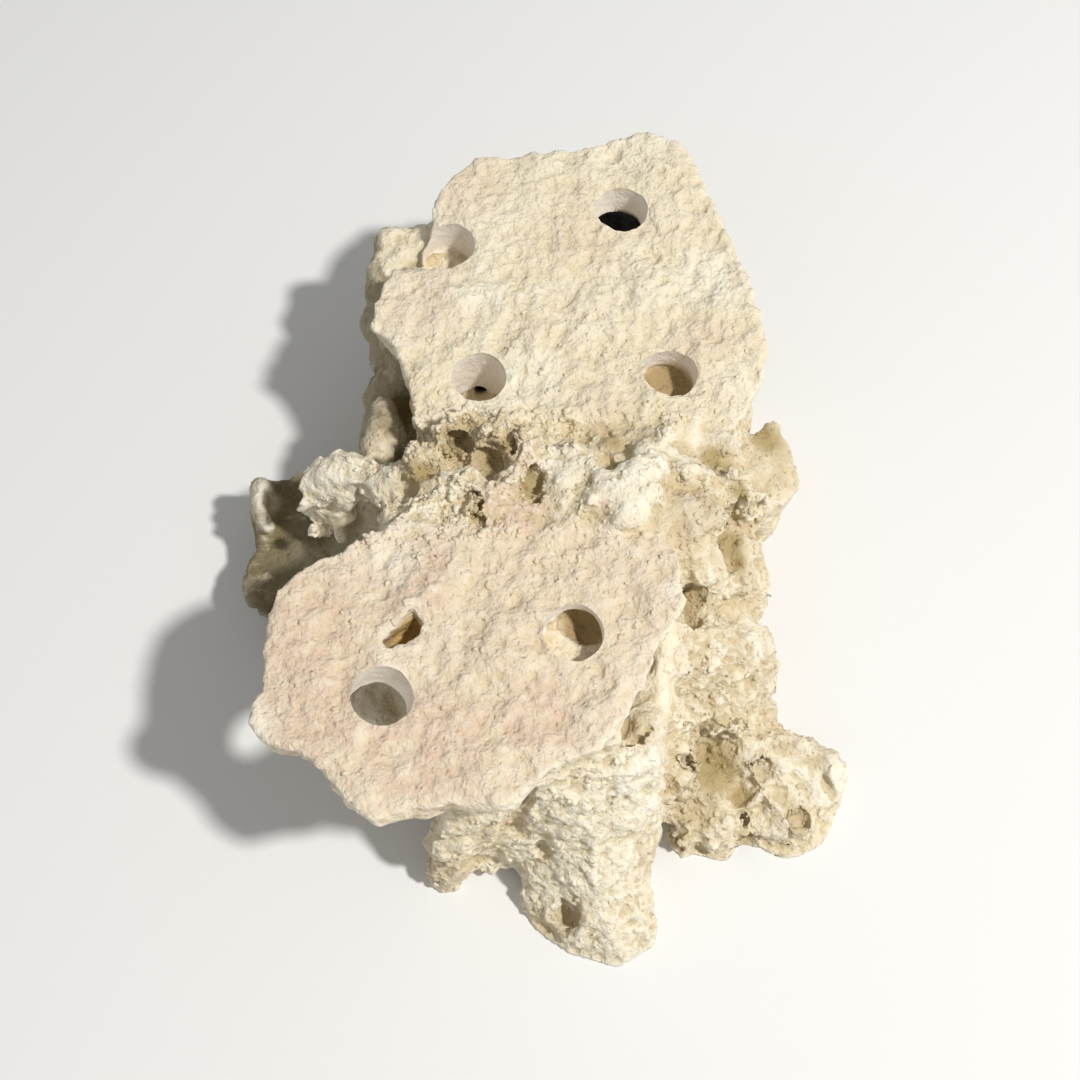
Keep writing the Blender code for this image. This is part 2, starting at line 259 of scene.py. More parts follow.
# knobs that stand on the ridge, the flank and the feet
knobs = {
    "seed": 7,
    "count": 520,
    "small": 1.1,
    "large": 2.6,
    "fewLarge": 2.5,  # the higher, the fewer are large
    "sunk": 0.5,
    "uneven": 0.00022,
    "holeGap": 7.4,  # nothing stands nearer to a drilled hole's middle
    "steepest": -0.35,  # nothing hangs from a face that looks further down
    "placed": (  # x, y, z and radius of those that stand out
        (-29, 2, 58, 2.6), (-25, 7, 58, 2.4), (-22, 9, 59, 2.6), (-18, 11, 59, 2.6), (-14, 6, 60, 3.0),
        (-10, 10, 60, 2.6), (-11, 5, 60, 2.2), (-20, -6, 61, 3.0), (-17, -8, 61, 2.6), (-23, -4, 60, 2.4),
        (-13, -12, 61, 2.6), (-10, -8, 61, 2.6), (8, -13, 62, 2.4), (29, -3, 57, 3.4), (22, 2, 58, 3.0),
        (26, 7, 57, 2.4), (41, -3, 55, 2.6), (35, -3, 55, 2.6), (48, -4, 47, 3.0), (52, 16, 43, 2.4),
        (13, 5, 54.5, 2.6), (17, 8, 54, 2.4), (15, 2, 55, 2.2), (20, 6, 54, 2.2), (11, 8, 53.5, 2.0),
        (18, 12, 53.5, 1.6), (13, 12, 53.5, 1.5), (22, 10, 54, 1.6),
        (-70.5, 12, 21, 3.0), (-70.8, 8.5, 21, 2.8), (-70.2, 5, 20.6, 2.6), (-68.4, 2.6, 19.4, 2.2),
        (-57, -1, 38, 2.6), (-55, -5, 33, 2.4), (-49, -5, 30, 2.6), (-44, 1, 47, 3.0), (-51, 3, 45, 2.6),
    ),
}


def clearOfHoles(x, y, gap):
    return all(math.hypot(x - hole[0], y - hole[1]) > gap for hole in drillHoles["holes"].values())


def scatterKnobs(rock):
    chance = random.Random(knobs["seed"])
    mesh = rock.data
    count = len(mesh.polygons)
    centres = np.empty(count * 3)
    normals = np.empty(count * 3)
    areas = np.empty(count)
    mesh.polygons.foreach_get("center", centres)
    mesh.polygons.foreach_get("normal", normals)
    mesh.polygons.foreach_get("area", areas)
    centres = centres.reshape(-1, 3) / mm - np.array(rockShift)
    normals = normals.reshape(-1, 3)
    weights = areas * findZones(centres, normals)["rough"] * (normals[:, 2] > knobs["steepest"])
    picks = chance.choices(range(count), weights=list(weights), k=knobs["count"])
    deselectAll()
    bpy.ops.mesh.primitive_ico_sphere_add(subdivisions=2, radius=mm, location=(0, 0, 0))
    first = bpy.context.object
    bpy.ops.object.mode_set(mode="EDIT")
    bpy.ops.transform.vertex_random(offset=knobs["uneven"], seed=3)
    bpy.ops.object.mode_set(mode="OBJECT")
    spots = [(Vector(s[:3]), s[3]) for s in knobs["placed"]]
    for pick in picks:
        size = knobs["small"] + (knobs["large"] - knobs["small"]) * chance.random() ** knobs["fewLarge"]
        spot = Vector(centres[pick]) - Vector(normals[pick]) * size * knobs["sunk"]
        if clearOfHoles(spot.x, spot.y, knobs["holeGap"] + size):
            spots.append((spot, size))
    made = []
    low, high = (corner / mm - rockShift for corner in cadBox)
    for spot, size in spots:
        if any(spot[a] - size < low[a] or spot[a] + size > high[a] for a in range(3)):
            continue
        knob = first.copy()
        knob.data = first.data.copy()
        axis = Vector([chance.gauss(0, 1) for _ in range(3)]).normalized()
        turn = Matrix.Rotation(chance.uniform(0, 6.28), 4, axis)
        sides = (size, size * chance.uniform(0.75, 1.1), size * chance.uniform(0.7, 1.0), 1)
        stretch = Matrix.Diagonal(sides)
        knob.data.transform(Matrix.Translation(place(*spot)) @ turn @ stretch)
        bpy.context.scene.collection.objects.link(knob)
        made.append(knob)
    bpy.data.objects.remove(first)
    joinInto(rock, made)


scatterKnobs(rock)
print("knobs scattered")


# crevices, slits and pits: chains of balls taken away
pockets = {
    "step": 0.7,  # ball to ball, as a share of the ball's radius
    "voxel": 0.0006,
    "chains": (  # x, y, z and radius at each end
        ((-23, 8, 55, 2.2), (-19, 6, 55.5, 2.4)), ((-15, 2, 56, 2.0), (-12, 0, 56.5, 2.4)),
        ((-9.5, 4, 61, 1.3), (-8, 1, 60.5, 1.5)), ((-30.5, -4, 57.5, 2.2), (-25.5, -2, 58, 2.4)),
        ((-15.0, -10, 60.5, 1.2), (-15.8, -17.5, 60.5, 1.3)),
        ((-4.4, -2, 58.5, 1.6), (-3.2, -10, 58.5, 1.8)),
        ((11, 4, 57, 0.9), (12, 10, 54.6, 0.8)), ((15, 5, 56.6, 0.9), (17, 11, 54.4, 0.8)),
        ((8, -1, 59.5, 0.9), (8, -8, 61.5, 0.9)), ((14.3, -7.8, 63.4, 0.8), (15.6, -7.5, 63.4, 0.8)),
        ((15.6, -12.5, 64, 0.8), (17, -12, 64, 0.8)), ((31, 3.6, 54.5, 1.0), (42, 2.2, 52.5, 1.4)),
        ((42.3, -3, 51.5, 1.3), (43, -5, 51, 1.5)), ((40, -9, 44.5, 1.5), (42, -17, 41, 2.2)),
        ((29.5, -24.4, 43, 1.8), (31, -31, 40, 2.6)), ((31, -31, 40, 2.6), (28.4, -36, 41, 2.0)),
        ((-7.3, -28.7, 60.5, 0.9), (-7.0, -28.2, 59, 0.8)),
        ((4.5, -22.3, 60.4, 0.8), (6, -23.5, 60.4, 0.7)),
        ((3, -19.5, 60.2, 0.7), (10, -19.6, 60.4, 1.0)), ((10, -19.6, 60.4, 1.0), (18, -19.4, 60.2, 1.1)),
        ((18, -19.4, 60.2, 1.1), (25, -15.5, 60.2, 0.9)), ((-43, -5, 45, 2.4), (-41, -11, 45, 3.0)),
        ((40, -55, 17, 2.6), (42, -61, 12, 2.8)), ((45, -66, 6, 1.8), (46, -75, 2, 2.6)),
        ((57.6, -67.5, 9.3, 1.5), (58.4, -68.5, 8.6, 1.4)), ((9, -86, 19, 0.9), (13, -89, 16, 0.8)),
        ((-8, -70, 34, 1.6), (-14, -74, 24, 2.2)), ((50, 14.5, 45, 1.9), (51, 10.5, 45.4, 1.8)),
        ((46, 12, 47, 0.8), (43, 20, 47, 0.8)), ((34, -42, 39, 1.1), (28, -44, 41, 0.9)),
        ((33, -50, 30, 0.9), (44, -47, 26, 0.9)), ((26, -46, 47, 1.0), (24, -52, 46, 1.1)),
        ((-39, 60, 54.4, 6.2), (-29, 60.5, 54.4, 6.2)), ((-17, 31.4, 38.2, 1.7), (-14, 31.8, 37.8, 1.5)),
        ((12.6, -58.5, 56.5, 0.9), (15, -63, 48.5, 1.2)), ((15.6, -57.2, 55.5, 1.0), (18, -62, 48.5, 1.3)),
        ((18.6, -55.6, 54.5, 0.9), (20.6, -60.5, 48.5, 1.1)), ((48, -52, 14, 1.2), (50, -58, 12, 1.4)),
        ((27, -62, 21, 1.1), (29, -72, 6, 1.6)), ((-1, -88, 12, 1.2), (3, -93, 6, 1.5)),
        ((7.6, -38, 53.6, 4.2), (5, -37.2, 54, 3.6)), ((7, -40, 54.5, 2.4), (5, -42, 56, 1.6)),
        ((-50, 7.6, 45.6, 0.7), (-40, 6.4, 49, 0.7)), ((-52.5, -6.5, 30, 1.4), (-50, -4, 27, 1.6)),
        ((33, -54, 26, 1.2), (31, -62, 14, 1.4)), ((62, -56, 12, 1.1), (66, -62, 8, 1.2)),
    ),
    "slot": {"at": (-30.7, -41.6, 58), "size": (9.6, 3.9, 12.5), "turn": 40},
}


def addPockets():
    deselectAll()
    bpy.ops.mesh.primitive_ico_sphere_add(subdivisions=2, radius=mm, location=(0, 0, 0))
    first = bpy.context.object
    balls = []
    for start, end in pockets["chains"]:
        one, two = Vector(start[:3]), Vector(end[:3])
        steps = max(1, math.ceil((two - one).length / (pockets["step"] * min(start[3], end[3]))))
        for step in range(steps + 1):
            share = step / steps
            size = start[3] + (end[3] - start[3]) * share
            ball = first.copy()
            ball.data = first.data.copy()
            spot = place(*one.lerp(two, share))
            ball.data.transform(Matrix.Translation(spot) @ Matrix.Diagonal((size, size, size, 1)))
            bpy.context.scene.collection.objects.link(ball)
            balls.append(ball)
    slot = pockets["slot"]
    deselectAll()
    sides = [side * mm for side in slot["size"]]
    bpy.ops.mesh.primitive_cube_add(size=1, location=(0, 0, 0), scale=sides)
    box = bpy.context.object
    box.location = place(*slot["at"])
    box.rotation_euler = (0, 0, math.radians(slot["turn"]))
    bpy.ops.object.transform_apply(location=True, rotation=True, scale=True)
    bpy.data.objects.remove(first)
    pocket = joinInto(balls[0], [*balls[1:], box])
    applyModifier(pocket, "REMESH", "One", mode="VOXEL", voxel_size=pockets["voxel"])
    return pocket


# the surface: one skin over it all, then swells, lumps, popcorn, flutes, crumbs and pits
surface = {
    "voxel": 0.00052,
    "triangles": 195000,
    "thinUnder": 0.000004,  # how much more the unseen underside is thinned
    "broad": (  # name, kind, size and height in mm, zone
        ("swell", "CLOUDS", 14.0, 3.0, "all"),
        ("crag", "HARD", 9.0, 2.8, "craggy"),
        ("lump", "VORONOI", 5.0, -2.2, "rough"),
        ("mottle", "CLOUDS", 3.6, 2.0, "plain"),
        ("flake", "HARD", 15.0, 2.0, "top"),
        ("rim", "CLOUDS", 2.6, 2.6, "rim"),
    ),
    "fine": (
        ("popcorn", "COBBLE", 2.6, 1.8, "rough"),
        ("flute", "FLUTE", 2.0, 1.5, "fluted"),
        ("chip", "HARD", 3.2, 2.3, "craggy"),
        ("grain", "CLOUDS", 2.4, 2.3, "top"),
        ("crumb", "CLOUDS", 1.7, 1.2, "all"),
        ("pit", "PIT", 4.5, -1.2, "pitted"),
    ),
    "flute": {"turn": 62, "stretch": 3.5},
    # x, y, z and reach: where the grain is fainter, and where it runs one way
    "quietSpots": ((-50, -55, 60, 34), (-30, -75, 60, 26), (-12, 82, 54, 26), (0, 60, 54, 20)),
    "flutedSpots": ((30, 55, 54, 40), (31, -13, 56, 12), (16, -56, 46, 10), (0, 40, 54, 26)),
}


def paintGroup(obj, name, weights, steps=24):
    group = obj.vertex_groups.new(name=name)
    levels = np.rint(np.clip(weights, 0, 1) * steps).astype(int)
    for level in range(1, steps + 1):
        found = np.nonzero(levels == level)[0]
        if len(found):
            group.add(found.tolist(), level / steps, "REPLACE")


def makeTexture(name, kind, size):
    inCells = kind in ("VORONOI", "COBBLE", "PIT")
    texture = bpy.data.textures.new(name, "VORONOI" if inCells else "CLOUDS")
    texture.noise_scale = size * mm
    if texture.type == "CLOUDS":
        texture.noise_depth = 3
        texture.noise_basis = "ORIGINAL_PERLIN"
        texture.noise_type = "HARD_NOISE" if kind == "HARD" else "SOFT_NOISE"
    if kind == "COBBLE":  # zero at the seams between the cells
        texture.weight_1, texture.weight_2 = -1.0, 1.0
        texture.noise_intensity = 1.4
    if kind == "PIT":
        texture.use_color_ramp = True
        ramp = texture.color_ramp
        ramp.elements[0].position = 0.10
        ramp.elements[0].color = (1, 1, 1, 1)
        ramp.elements[1].position = 0.26
        ramp.elements[1].color = (0, 0, 0, 1)
    return texture


applyModifier(rock, "REMESH", "Skin", mode="VOXEL", voxel_size=surface["voxel"])
pocket = addPockets()
applyModifier(rock, "BOOLEAN", "Pockets", operation="DIFFERENCE", solver="MANIFOLD", object=pocket)
bpy.data.objects.remove(pocket)
applyModifier(rock, "REMESH", "SkinAgain", mode="VOXEL", voxel_size=surface["voxel"])
applyModifier(rock, "SMOOTH", "Worn", factor=0.5, iterations=2)
print("skin drawn:", len(rock.data.polygons), "faces")


def paintZones(rock):
    points, normals = readPoints(rock)
    zones = findZones(points, normals)
    above = smoothStep(0.2, 1.6, points[:, 2])  # nothing moves at the soles
    seen = np.clip(smoothStep(-0.5, 0.0, normals[:, 2]) + zones["top"], 0, 1)
    worn = patches(points, 14, 5)
    quiet = softSpots(points, surface["quietSpots"])
    grainy = patches(points, 11, 8) * (1 - 0.75 * quiet)
    flat = np.clip(zones["top"] + 0.3 * zones["face"] + 0.4 * zones["arm"], 0, 1)
    rock.vertex_groups.clear()
    groups = {
        "all": (0.3 + 0.7 * seen) * (0.5 + 0.5 * worn) * (1 - 0.5 * zones["calm"]) * (1 - 0.35 * quiet),
        "rough": zones["rough"] * seen,
        "craggy": zones["craggy"] * seen,
        "plain": (1 - zones["rough"]) * (1 - 0.5 * zones["tier"]) * seen,
        "fluted": softSpots(points, surface["flutedSpots"]),
        "top": (0.25 + 0.75 * grainy) * flat,
        "pitted": np.clip(0.4 * zones["rough"] + 0.15 * zones["top"] + 0.3 * zones["face"], 0, 1) * seen,
        "rim": (np.abs(normals[:, 2]) < 0.6) * smoothStep(42, 46, points[:, 2]) * (1 - zones["calm"]),
    }
    for name, weights in groups.items():
        paintGroup(rock, name, above * weights)
    paintGroup(rock, "under", 1 - 0.7 * seen)


def displace(rock, layers, grainWay):
    for name, kind, size, height, zone in layers:
        oneWay = kind == "FLUTE"
        applyModifier(
            rock, "DISPLACE", name, texture=makeTexture(name, kind, size),
            texture_coords="OBJECT" if oneWay else "LOCAL",
            texture_coords_object=grainWay if oneWay else None,
            strength=height * mm, mid_level=0.0 if kind == "PIT" else 0.5, vertex_group=zone,
        )


grainWay = bpy.data.objects.new("grainWay", None)
bpy.context.scene.collection.objects.link(grainWay)
grainWay.rotation_euler = (0, 0, math.radians(surface["flute"]["turn"]))
grainWay.scale = (surface["flute"]["stretch"], 1, 1)
bpy.context.view_layer.update()
paintZones(rock)
displace(rock, surface["broad"], grainWay)
applyModifier(rock, "REMESH", "SkinOnceMore", mode="VOXEL", voxel_size=surface["voxel"])
paintZones(rock)
displace(rock, surface["fine"], grainWay)
bpy.data.objects.remove(grainWay)
print("surface displaced")

applyModifier(
    rock, "DECIMATE", "Thin", ratio=surface["triangles"] / (2 * len(rock.data.polygons)),
    use_collapse_triangulate=True, vertex_group="under", vertex_group_factor=surface["thinUnder"],
)
print("surface thinned:", len(rock.data.polygons), "faces")


# materials: colours are read through the marks painted on the rock further down
stoneLook = {
    "cream": (0.79, 0.69, 0.50),
    "light": (0.84, 0.76, 0.59),
    "pale": (0.89, 0.84, 0.71),
    "pink": (0.715, 0.55, 0.41),
    "tan": (0.62, 0.51, 0.34),
    # dust colour, for speckles and for the painted shade in hollows
    "dustAndShade": (0.56, 0.45, 0.26),
    # brown of stains, also used as painted shade
    "deep": (0.42, 0.32, 0.145),
    "amber": (0.52, 0.36, 0.13),
    "umber": (0.42, 0.31, 0.16),
    # painted shadow: near black, for deep caves seen through the holes and a narrow gap at the right foot
    "blackShade": (0.02, 0.02, 0.02),
    # painted shade in an olive tone, for the tier and the wall under the upper shelf's left edge, as if in
    # shadow
    "oliveShade": (0.165, 0.13, 0.06),
    "patch": 22.0,  # sizes of the colour's patches, in mm
    "mottle": 5.0,
    "speckle": 1.1,
    "speckled": 0.36,  # how much of it shows, as of the next two
    "crested": 0.45,
    "hollowDustAndShade": 0.7,
    "roughness": 0.93,
    "grains": ((2.0, 0.8), (0.8, 0.3)),  # size and depth of the finest grain, mm
    # each mark that covers what is below it, and its colour: stains and brown floors, and painted shade and
    # shadow
    "stainsAndShades": (("stainAndShade", "deep"), ("umber", "umber"), ("amber", "amber"), ("blackShade", "blackShade")),
}
drilledLook = {
    "grey": (0.89, 0.81, 0.70),
    "white": (0.93, 0.87, 0.79),
    "fleck": (0.52, 0.42, 0.27),
    "clouds": 4.0,  # sizes in mm
    "flecks": 0.8,
    "flecked": 0.4,
    "roughness": 0.85,
    "grains": ((2.5, 0.35), (0.5, 0.12)),
}


def newMaterial(name):
    material = bpy.data.materials.new(name)
    material.use_nodes = True
    tree = material.node_tree
    shader = tree.nodes["Principled BSDF"]
    shader.inputs["Specular IOR Level"].default_value = 0.25
    return material, tree, shader


def addNode(tree, kind, **values):
    node = tree.nodes.new(kind)
    for key, value in values.items():
        setattr(node, key, value)
    return node


def noiseOf(tree, coords, size, detail=4.0, rough=0.55):
    node = addNode(tree, "ShaderNodeTexNoise")
    node.inputs["Scale"].default_value = 1000.0 / size
    node.inputs["Detail"].default_value = detail
    node.inputs["Roughness"].default_value = rough
    tree.links.new(coords, node.inputs["Vector"])
    return node.outputs["Fac"]


def rampOf(tree, source, low, high):
    node = addNode(tree, "ShaderNodeMapRange", interpolation_type="SMOOTHSTEP")
    node.inputs["From Min"].default_value = low
    node.inputs["From Max"].default_value = high
    tree.links.new(source, node.inputs["Value"])
    return node.outputs["Result"]


def timesOf(tree, first, second):
    node = addNode(tree, "ShaderNodeMath", operation="MULTIPLY")
    for socket, value in zip(node.inputs, (first, second)):
        if isinstance(value, (int, float)):
            socket.default_value = value
        else:
            tree.links.new(value, socket)
    return node.outputs[0]


def mixOf(tree, amount, first, second):
    node = addNode(tree, "ShaderNodeMix", data_type="RGBA")
    tree.links.new(amount, node.inputs["Factor"])
    for socket, value in ((node.inputs[6], first), (node.inputs[7], second)):
        if isinstance(value, tuple):
            socket.default_value = (*value, 1.0)
        else:
            tree.links.new(value, socket)
    return node.outputs[2]


def readMark(tree, name):
    return addNode(tree, "ShaderNodeAttribute", attribute_name=name).outputs["Fac"]


def grainOf(tree, coords, size):
    # rounded grains, worn unevenly
    cells = addNode(tree, "ShaderNodeTexVoronoi", feature="SMOOTH_F1")
    cells.inputs["Scale"].default_value = 1000.0 / size
    tree.links.new(coords, cells.inputs["Vector"])
    grain = rampOf(tree, cells.outputs["Distance"], 0.75, 0.15)
    blend = addNode(tree, "ShaderNodeMath", operation="ADD")
    tree.links.new(timesOf(tree, grain, 0.35), blend.inputs[0])
    tree.links.new(noiseOf(tree, coords, size, 4.0, 0.6), blend.inputs[1])
    return blend.outputs[0]


def addBumps(tree, coords, shader, grains):
    last = None
    for size, depth in grains:
        bump = addNode(tree, "ShaderNodeBump")
        bump.inputs["Strength"].default_value = 1.0
        bump.inputs["Distance"].default_value = depth * mm
        tree.links.new(grainOf(tree, coords, size), bump.inputs["Height"])
        if last:
            tree.links.new(last.outputs["Normal"], bump.inputs["Normal"])
        last = bump
    tree.links.new(last.outputs["Normal"], shader.inputs["Normal"])


def makeStone():
    material, tree, shader = newMaterial("reefStone")
    coords = addNode(tree, "ShaderNodeTexCoord").outputs["Object"]
    patch = noiseOf(tree, coords, stoneLook["patch"], 3.0)
    mottle = noiseOf(tree, coords, stoneLook["mottle"], 5.0, 0.6)
    speckle = noiseOf(tree, coords, stoneLook["speckle"], 3.0, 0.6)
    colour = mixOf(tree, rampOf(tree, patch, 0.42, 0.66), stoneLook["cream"], stoneLook["light"])
    pink = timesOf(tree, readMark(tree, "pink"), rampOf(tree, mottle, 0.25, 0.55))
    colour = mixOf(tree, pink, colour, stoneLook["pink"])
    # pale patches of stone, and painted light on the tier's finger, the arm and the front face
    pale = timesOf(tree, readMark(tree, "pale"), rampOf(tree, mottle, 0.28, 0.55))
    colour = mixOf(tree, pale, colour, stoneLook["pale"])
    specks = timesOf(tree, rampOf(tree, speckle, 0.54, 0.72), stoneLook["speckled"])
    colour = mixOf(tree, specks, colour, stoneLook["dustAndShade"])
    specks = timesOf(tree, rampOf(tree, speckle, 0.46, 0.28), stoneLook["speckled"])
    colour = mixOf(tree, specks, colour, stoneLook["pale"])
    # tan patches, and painted shade where tan darkens the flank, the tooth and the fluted slope that face the
    # key lamp
    tan = timesOf(tree, readMark(tree, "tan"), rampOf(tree, mottle, 0.2, 0.5))
    colour = mixOf(tree, tan, colour, stoneLook["tan"])
    # crests painted paler: paler stone and a painted highlight on the tops of bumps
    crest = timesOf(tree, readMark(tree, "crest"), stoneLook["crested"])
    colour = mixOf(tree, crest, colour, stoneLook["pale"])
    # hollows darkened: dust, and painted shade in creases and recesses
    hollow = timesOf(tree, readMark(tree, "hollow"), stoneLook["hollowDustAndShade"])
    colour = mixOf(tree, hollow, colour, stoneLook["dustAndShade"])
    # painted shade in an olive tone, broken up by the mottle
    oliveShade = timesOf(tree, readMark(tree, "oliveShade"), rampOf(tree, mottle, 0.2, 0.44))
    colour = mixOf(tree, oliveShade, colour, stoneLook["oliveShade"])
    for mark, shade in stoneLook["stainsAndShades"]:
        colour = mixOf(tree, readMark(tree, mark), colour, stoneLook[shade])
    tree.links.new(colour, shader.inputs["Base Color"])
    shader.inputs["Roughness"].default_value = stoneLook["roughness"]
    addBumps(tree, coords, shader, stoneLook["grains"])
    return material


def makeDrilledStone():
    material, tree, shader = newMaterial("drilledStone")
    coords = addNode(tree, "ShaderNodeTexCoord").outputs["Object"]
    cloud = noiseOf(tree, coords, drilledLook["clouds"], 4.0)
    fleck = noiseOf(tree, coords, drilledLook["flecks"], 3.0)
    colour = mixOf(tree, rampOf(tree, cloud, 0.35, 0.65), drilledLook["grey"], drilledLook["white"])
    flecks = timesOf(tree, rampOf(tree, fleck, 0.58, 0.72), drilledLook["flecked"])
    colour = mixOf(tree, flecks, colour, drilledLook["fleck"])
    floorShade = timesOf(tree, readMark(tree, "drillFloor"), rampOf(tree, cloud, 0.2, 0.5))
    colour = mixOf(tree, floorShade, colour, stoneLook["tan"])
    for mark, shade in stoneLook["stainsAndShades"]:
        colour = mixOf(tree, readMark(tree, mark), colour, stoneLook[shade])
    tree.links.new(colour, shader.inputs["Base Color"])
    shader.inputs["Roughness"].default_value = drilledLook["roughness"]
    addBumps(tree, coords, shader, drilledLook["grains"])
    return material


stone = makeStone()
drilledStone = makeDrilledStone()
rock.data.materials.clear()
rock.data.materials.append(stone)
print("materials made")


# the drilled holes, cut again through the finished surface
def drillAgain(rock):
    rods = []
    for hole in drillHoles["holes"].values():
        _, _, rim, tip, _, _ = hole
        start = rim + drillHoles["above"]
        rows = round((start - tip) / 2)  # short faces down the wall, so that it shades evenly
        rods.append(addRod("drill", drillHoles["radius"], drillHoles["sides"], hole, tip, start, rows))
    drill = joinInto(rods[0], rods[1:])
    drill.data.materials.append(drilledStone)
    rock.data.materials.append(drilledStone)
    applyModifier(rock, "BOOLEAN", "Drill", operation="DIFFERENCE", solver="MANIFOLD", object=drill)
    bpy.data.objects.remove(drill)
    makeActive(rock)
    bpy.ops.object.shade_smooth()
    rock.active_material_index = 1
    bpy.ops.object.mode_set(mode="EDIT")
    bpy.ops.mesh.select_mode(type="FACE")
    bpy.ops.mesh.select_all(action="DESELECT")
    bpy.ops.object.material_slot_select()
    bpy.ops.mesh.region_to_loop()
    bpy.ops.mesh.mark_sharp()
    bpy.ops.object.mode_set(mode="OBJECT")


drillAgain(rock)
print("holes drilled:", len(rock.data.polygons), "faces")


# crumbs: small beads that stand on the rough parts, sunk in by a part of their size
crumbs = {
    "perSquareMetre": 900000,
    "small": (0.00030, 0.00030, 0.00026),  # radii in metres
    "large": (0.00115, 0.00115, 0.00095),
    "sunk": -0.0003,
    "turns": (fullTurn, fullTurn, fullTurn),
    "seed": 4,
    # how thickly they stand in each zone
    "zones": {
        "cluster": 1.0, "ridge": 0.5, "flank": 0.35, "foot": 0.2, "frontWall": 0.3, "arm": 0.3, "face": 0.2,
    },
}


def crumbTree():
    tree = bpy.data.node_groups.new("crumbTree", "GeometryNodeTree")
    tree.interface.new_socket("Geometry", in_out="INPUT", socket_type="NodeSocketGeometry")
    tree.interface.new_socket("Geometry", in_out="OUTPUT", socket_type="NodeSocketGeometry")
    start = addNode(tree, "NodeGroupInput")
    end = addNode(tree, "NodeGroupOutput")
    spread = addNode(tree, "GeometryNodeDistributePointsOnFaces")
    spread.inputs["Seed"].default_value = crumbs["seed"]
    mark = addNode(tree, "GeometryNodeInputNamedAttribute", data_type="FLOAT")
    mark.inputs["Name"].default_value = "crumby"
    density = timesOf(tree, mark.outputs["Attribute"], crumbs["perSquareMetre"])
    tree.links.new(density, spread.inputs["Density"])
    sink = addNode(tree, "ShaderNodeVectorMath", operation="SCALE")
    sink.inputs["Scale"].default_value = crumbs["sunk"]
    shift = addNode(tree, "GeometryNodeSetPosition")
    ball = addNode(tree, "GeometryNodeMeshIcoSphere")
    ball.inputs["Radius"].default_value = 1.0
    size = addNode(tree, "FunctionNodeRandomValue", data_type="FLOAT_VECTOR")
    size.inputs[0].default_value = crumbs["small"]
    size.inputs[1].default_value = crumbs["large"]
    turn = addNode(tree, "FunctionNodeRandomValue", data_type="FLOAT_VECTOR")
    turn.inputs[1].default_value = crumbs["turns"]
    put = addNode(tree, "GeometryNodeInstanceOnPoints")
    real = addNode(tree, "GeometryNodeRealizeInstances")
    tree.links.new(start.outputs[0], spread.inputs["Mesh"])
    tree.links.new(spread.outputs["Normal"], sink.inputs[0])
    tree.links.new(spread.outputs["Points"], shift.inputs["Geometry"])
    tree.links.new(sink.outputs["Vector"], shift.inputs["Offset"])
    tree.links.new(shift.outputs["Geometry"], put.inputs["Points"])
    tree.links.new(ball.outputs["Mesh"], put.inputs["Instance"])
    tree.links.new(size.outputs[0], put.inputs["Scale"])
    tree.links.new(turn.outputs[0], put.inputs["Rotation"])
    tree.links.new(put.outputs["Instances"], real.inputs["Geometry"])
    tree.links.new(real.outputs["Geometry"], end.inputs[0])
    return tree


def scatterCrumbs(rock):
    beads = rock.copy()
    beads.data = rock.data.copy()
    beads.name = "crumbs"
    bpy.context.scene.collection.objects.link(beads)
    applyModifier(beads, "NODES", "Scatter", node_group=crumbTree())
    beads.data.materials.clear()
    beads.data.materials.append(stone)
    makeActive(beads)
    bpy.ops.object.shade_smooth()
    return beads


# flat soles, nothing outside the CAD box: metres
trim = {
    "sole": 0.0003,  # what is this near to the ground lies on it
    "soft": 0.0008,  # what is this near to the box is pressed together, so that no flat spot shows
}


def trimToBox(obj):
    spots = np.empty(len(obj.data.vertices) * 3)
    obj.data.vertices.foreach_get("co", spots)
    spots = spots.reshape(-1, 3)
    spots[:, 2] = np.where(np.abs(spots[:, 2]) < trim["sole"], 0.0, spots[:, 2])
    low, high = np.array(cadBox[0]), np.array(cadBox[1])
    soft = trim["soft"]
    for axis, side in ((0, -1), (0, 1), (1, -1), (1, 1), (2, 1)):
        limit = high[axis] if side > 0 else -low[axis]
        past = side * spots[:, axis] - (limit - soft)
        pressed = limit - soft + soft * (1 - np.exp(-np.maximum(past, 0) / soft))
        spots[:, axis] = np.where(past > 0, side * pressed, spots[:, axis])
    spots = np.clip(spots, low, high)
    obj.data.vertices.foreach_set("co", spots.ravel())
    obj.data.update()


trimToBox(rock)


